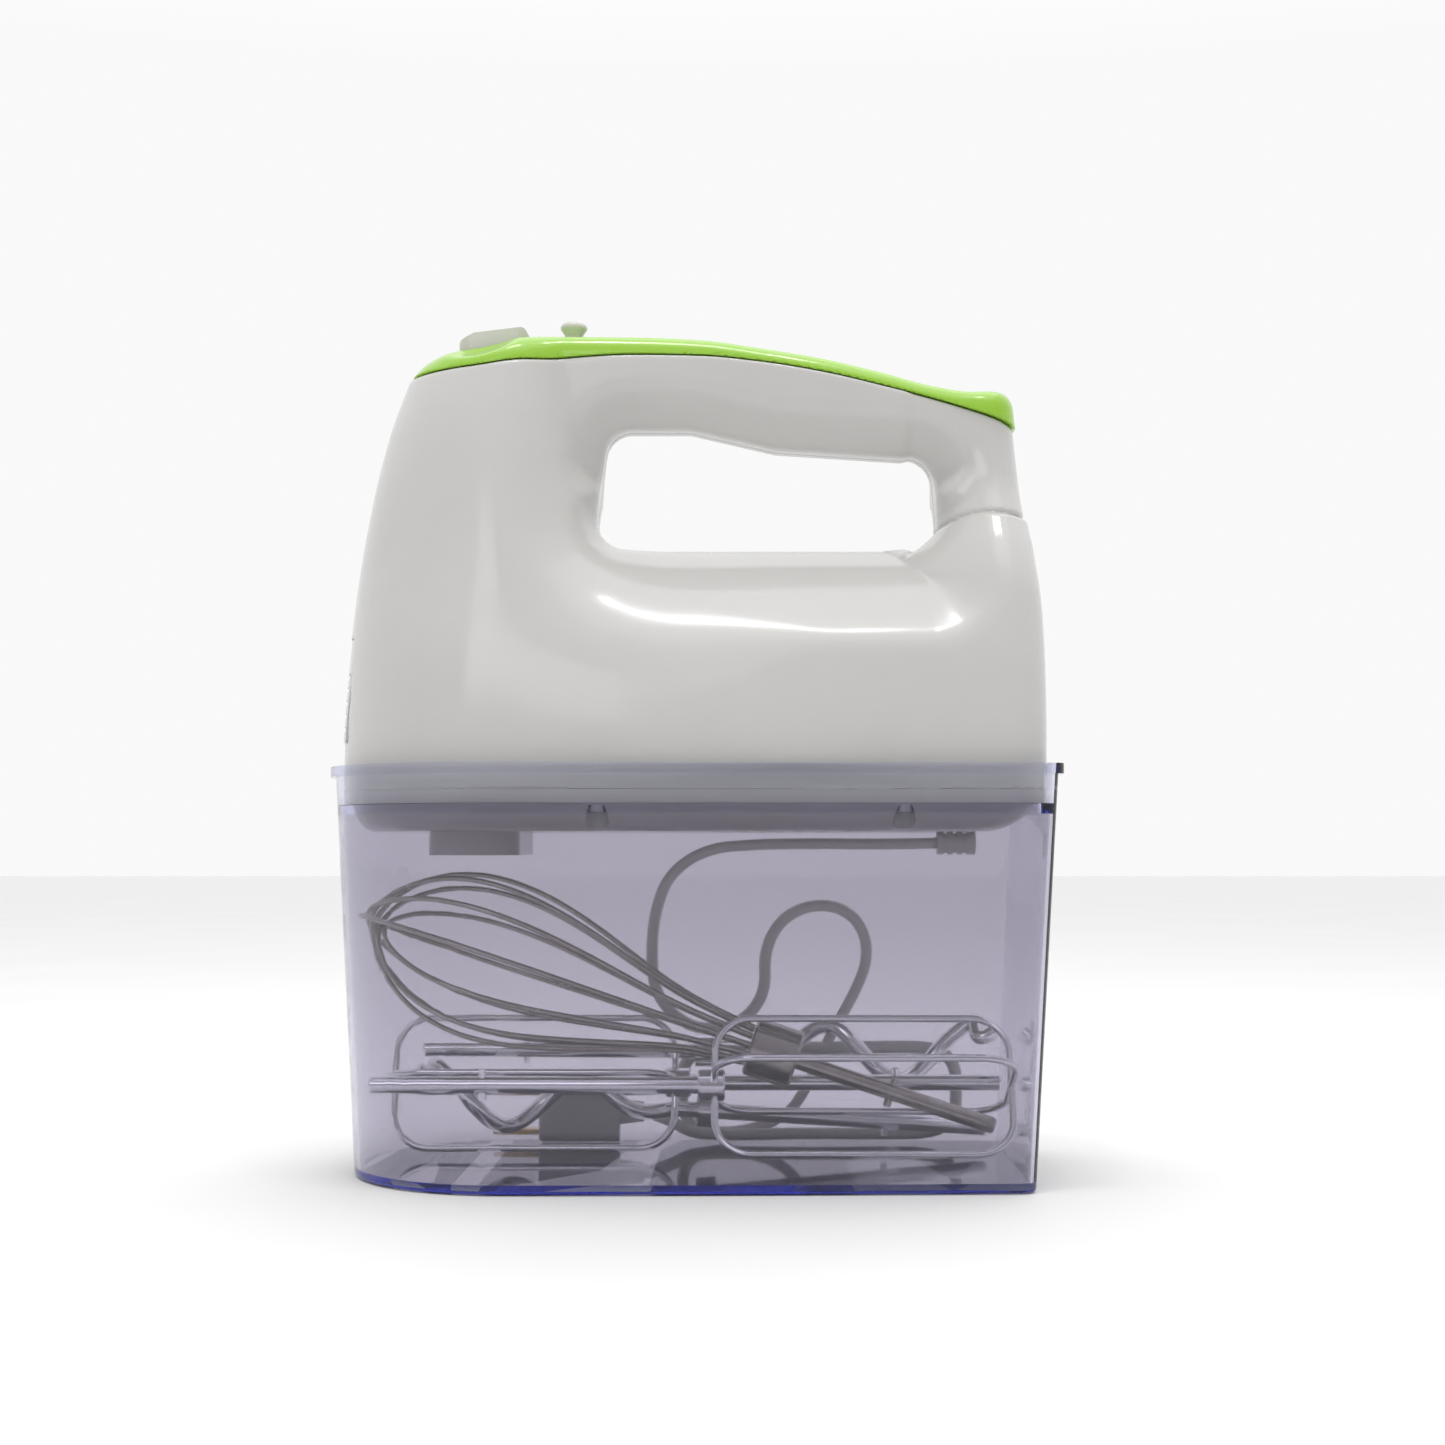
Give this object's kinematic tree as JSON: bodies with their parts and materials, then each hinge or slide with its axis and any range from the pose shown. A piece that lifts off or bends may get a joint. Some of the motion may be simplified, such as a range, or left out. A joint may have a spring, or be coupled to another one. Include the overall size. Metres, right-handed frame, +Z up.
{
  "type": "hand mixer",
  "caption": "Electric hand mixer with open loop handle, resting on a clear storage case that holds beaters, dough hooks, whisk and cord.",
  "frame": {"origin": "centre of the case's underside, on the surface it stands on", "axes": "+Z up, +X from the nose to the rear, -Y towards the side the picture shows"},
  "size_m": [0.2175, 0.1082, 0.2612],
  "materials": {
    "clear_blue": "clear moulded",
    "white_gloss": "gloss",
    "lime_gloss": "gloss",
    "button_white": "satin gloss",
    "cord_white": "satin",
    "chrome": "plated",
    "whisk_steel": "satin",
    "steel": "machined",
    "brass": "machined",
    "copper": "lacquered",
    "carbon": "matt",
    "dark_plastic": "matt",
    "gear_plastic": "satin"
  },
  "bodies": {
    "case": {"storage_case": "clear_blue"},
    "mixer": {"left_shell": "white_gloss", "right_shell": "white_gloss", "nose_vent": "white_gloss", "top_trim": "lime_gloss", "bottom_cover": "white_gloss", "cover_screws": "steel", "eject_spring": "steel", "switch_block": "dark_plastic", "turbo_switch": "dark_plastic", "stator": "steel", "field_coils": "copper", "brush_holders": "brass", "brushes": "carbon", "rear_bracket": "dark_plastic", "motor_bushes": "brass", "motor_cradle": "dark_plastic", "gearbox_base": "dark_plastic", "gearbox_top": "dark_plastic", "spindle_bushes": "brass", "strain_relief": "cord_white", "cord": "cord_white", "cord_hank": "cord_white", "cord_tail": "cord_white", "plug": "cord_white"},
    "ejector": {"eject_button": "button_white", "ejector_yoke": "dark_plastic"},
    "speed_slider": {"speed_knob": "button_white", "switch_carriage": "dark_plastic"},
    "turbo": {"turbo_button": "button_white"},
    "rotor": {"armature": "steel", "armature_winding": "copper", "motor_shaft": "steel", "worm": "steel", "commutator": "copper", "cooling_fan": "dark_plastic"},
    "spindle_near": {"spindle_1": "steel", "worm_wheel_1": "gear_plastic"},
    "spindle_far": {"spindle_2": "steel", "worm_wheel_2": "gear_plastic"},
    "beater_near": {"beater_1_shaft": "chrome", "beater_1_loops": "chrome", "beater_1_collar": "chrome"},
    "beater_far": {"beater_2_shaft": "chrome", "beater_2_loops": "chrome", "beater_2_collar": "chrome"},
    "hook_low": {"hook_1_rod": "chrome", "hook_1_collar": "chrome"},
    "hook_high": {"hook_2_rod": "chrome", "hook_2_collar": "chrome"},
    "whisk": {"whisk_shaft": "whisk_steel", "whisk_ferrule": "whisk_steel", "whisk_wires": "whisk_steel"}
  },
  "joints": [
    {"name": "mixer_lift", "type": "slide", "parent": "case", "child": "mixer", "axis": [0, 0, 1], "range_m": [0, 0.3]},
    {"name": "eject_press", "type": "slide", "parent": "mixer", "child": "ejector", "axis": [0, 0, -1], "range_m": [0, 0.006], "stiffness_N_per_m": 300, "springref_m": -0.002, "deforming": ["eject_spring"]},
    {"name": "speed_slide", "type": "slide", "parent": "mixer", "child": "speed_slider", "axis": [1, 0, 0], "range_m": [0, 0.014]},
    {"name": "turbo_press", "type": "slide", "parent": "mixer", "child": "turbo", "axis": [0, 0, -1], "range_m": [0, 0.0016], "stiffness_N_per_m": 400, "springref_m": -0.001},
    {"name": "motor_spin", "type": "hinge", "parent": "mixer", "child": "rotor", "pos_m": [0, 0, 0.15], "axis": [1, 0, 0], "continuous": true},
    {"name": "spindle_near_spin", "type": "hinge", "parent": "mixer", "child": "spindle_near", "pos_m": [-0.062, -0.0175, 0.15], "axis": [0, 0, 1], "continuous": true},
    {"name": "spindle_far_spin", "type": "hinge", "parent": "mixer", "child": "spindle_far", "pos_m": [-0.062, 0.0175, 0.15], "axis": [0, 0, 1], "continuous": true},
    {"name": "beater_near_lift", "type": "slide", "parent": "case", "child": "beater_near", "axis": [0, 0, 1], "range_m": [0, 0.15]},
    {"name": "beater_far_lift", "type": "slide", "parent": "case", "child": "beater_far", "axis": [0, 0, 1], "range_m": [0, 0.15]},
    {"name": "hook_low_lift", "type": "slide", "parent": "case", "child": "hook_low", "axis": [0, 0, 1], "range_m": [0, 0.15]},
    {"name": "hook_high_lift", "type": "slide", "parent": "case", "child": "hook_high", "axis": [0, 0, 1], "range_m": [0, 0.15]},
    {"name": "whisk_lift", "type": "slide", "parent": "case", "child": "whisk", "axis": [0, 0, 1], "range_m": [0, 0.15]}
  ],
  "couplings": [
    {"joint": "spindle_near_spin", "follows": "motor_spin", "ratio": 0.041667},
    {"joint": "spindle_far_spin", "follows": "motor_spin", "ratio": -0.041667},
    {"joint": "beater_near_lift", "follows": "mixer_lift", "ratio": 0.5},
    {"joint": "beater_far_lift", "follows": "mixer_lift", "ratio": 0.5},
    {"joint": "hook_low_lift", "follows": "mixer_lift", "ratio": 0.5},
    {"joint": "hook_high_lift", "follows": "mixer_lift", "ratio": 0.5},
    {"joint": "whisk_lift", "follows": "mixer_lift", "ratio": 0.5}
  ]
}
